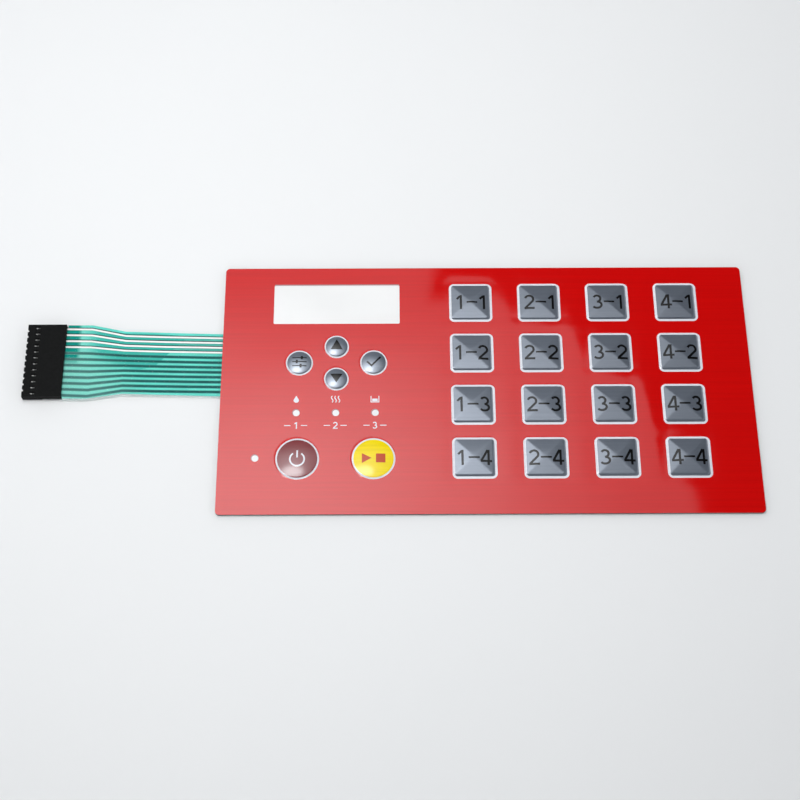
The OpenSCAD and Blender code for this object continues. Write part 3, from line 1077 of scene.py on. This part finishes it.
# Adhesives and spacer: dark, a painted shade for their edges round the panel and inside the windows.
GLUE = plain("adhesive_edge_painted_shade", (0.05, 0.045, 0.045), (0.09, 0.08, 0.08), (150, 150, 3000), 0.5)
LINER = plain("liner_paper", (0.74, 0.72, 0.66), (0.82, 0.80, 0.75), (900, 700, 900), 0.45)
dress(["connector_housing"], HOUSING)
dress([name for name in nodes if name.startswith("contact_")], METAL)
dress(["overlay_adhesive", "rear_adhesive", "circuit_spacer"], GLUE)
dress(["release_liner"], LINER)


# Floor, in metres

FLOOR_REACH = 3
FLOOR_Z = -5e-5
FLOOR = plain("pale_floor", (0.815, 0.812, 0.807), (0.825, 0.822, 0.817), (6, 6, 1), 0.6)
floor_sides = [(-1, -1), (1, -1), (1, 1), (-1, 1)]
floor_corners = [(x * FLOOR_REACH, y * FLOOR_REACH, FLOOR_Z) for x, y in floor_sides]
floor_mesh = bpy.data.meshes.new("floor")
floor_mesh.from_pydata(floor_corners, [], [(0, 1, 2, 3)])
floor_mesh.materials.append(FLOOR)
floor = bpy.data.objects.new("floor", floor_mesh)
bpy.context.collection.objects.link(floor)


# Light, in metres: a wide soft box over the panel, and a small bright lamp under it

LIGHT_COLOR = (0.965, 0.985, 1.0)
STRIP_PLACE = (-0.15, 0.055, 0.60)
STRIP_W = 0.21
STRIP_H = 0.115
STRIP_RADIANCE = 14.0
strip_light = bpy.data.lights.new("strip_box", "AREA")
strip_light.shape = "ELLIPSE"
strip_light.size = STRIP_W
strip_light.size_y = STRIP_H
strip_light.energy = STRIP_RADIANCE * math.pi * STRIP_W * STRIP_H * math.pi / 4
strip_light.color = LIGHT_COLOR
strip_box = bpy.data.objects.new("strip_box", strip_light)
strip_box.location = STRIP_PLACE
bpy.context.collection.objects.link(strip_box)

SOFT_Z = 0.62
SOFT_LEFT = -0.34
SOFT_NEAR = -0.05
SOFT_FAR = 0.44
SOFT_END_Y = 0.16
SOFT_END_R = 0.208
SOFT_LEAST = 1.2
SOFT_EXTRA = 3.5


def soft_light():
    """Light that is brightest at the left and near side of the soft box."""
    made, tree, shader = material("soft_light")
    glow = tree.nodes.new("ShaderNodeEmission")
    strength = tree.nodes.new("ShaderNodeMath")
    strength.operation = "MULTIPLY_ADD"
    to_left = along(tree, (-1, 0, 0), -200, 150)
    to_near = along(tree, (0, -1, 0), -400, -180)
    tree.links.new(product(tree, to_left, to_near), strength.inputs[0])
    strength.inputs[1].default_value = SOFT_EXTRA
    strength.inputs[2].default_value = SOFT_LEAST
    tree.links.new(strength.outputs["Value"], glow.inputs["Strength"])
    glow.inputs["Color"].default_value = (*LIGHT_COLOR, 1)
    tree.links.new(glow.outputs["Emission"], tree.nodes["Material Output"].inputs["Surface"])
    tree.nodes.remove(shader)
    return made


soft_outline = [(SOFT_LEFT, SOFT_NEAR), (SOFT_LEFT, SOFT_FAR), (0.0, SOFT_FAR)]
soft_outline += arc(0.0, SOFT_END_Y, SOFT_END_R, SOFT_END_R, 90, -90, 40)
soft_mesh = bpy.data.meshes.new("soft_box")
soft_mesh.from_pydata([(x, y, SOFT_Z) for x, y in soft_outline], [], [range(len(soft_outline))])
soft_mesh.materials.append(soft_light())
soft_box = bpy.data.objects.new("soft_box", soft_mesh)
soft_box.visible_camera = False
soft_box.visible_shadow = False
bpy.context.collection.objects.link(soft_box)


# Room round the scene: pale at the horizon, dark overhead

ROOM_STRENGTH = 1.7
ROOM_STOPS = [(0.0, (0.95, 0.98, 1.0)), (0.45, (0.6, 0.62, 0.65)), (0.72, (0.02, 0.02, 0.02))]
world = bpy.data.worlds.new("studio")
bpy.context.scene.world = world
world.use_nodes = True
room = world.node_tree
background = room.nodes["Background"]
room_place = room.nodes.new("ShaderNodeTexCoord")
room_axes = room.nodes.new("ShaderNodeSeparateXYZ")
room.links.new(room_place.outputs["Generated"], room_axes.inputs["Vector"])
room.links.new(ramp(room, room_axes.outputs["Z"], ROOM_STOPS), background.inputs["Color"])
background.inputs["Strength"].default_value = ROOM_STRENGTH


# Camera, solved from the grid of square keys

SENSOR_W = 36.0
FOCAL_PIXELS = 1491.2
FRAME_PIXELS = 800
CAMERA_PLACE = Vector((-36.283, -238.686, 523.95))
CAMERA_RIGHT = Vector((0.99998, -0.005532, 0.0029))
CAMERA_DOWN = Vector((-0.003872, -0.913348, -0.407162))
CAMERA_AHEAD = Vector((0.004901, 0.407143, -0.913351))
lens = bpy.data.cameras.new("camera")
lens.sensor_width = SENSOR_W
lens.lens = SENSOR_W * FOCAL_PIXELS / FRAME_PIXELS
camera = bpy.data.objects.new("camera", lens)
stand = Matrix((CAMERA_RIGHT, -CAMERA_DOWN, -CAMERA_AHEAD)).transposed().to_4x4()
stand.translation = CAMERA_PLACE * MM
camera.matrix_world = stand
bpy.context.collection.objects.link(camera)
bpy.context.scene.camera = camera
bpy.context.scene.view_settings.view_transform = "Standard"
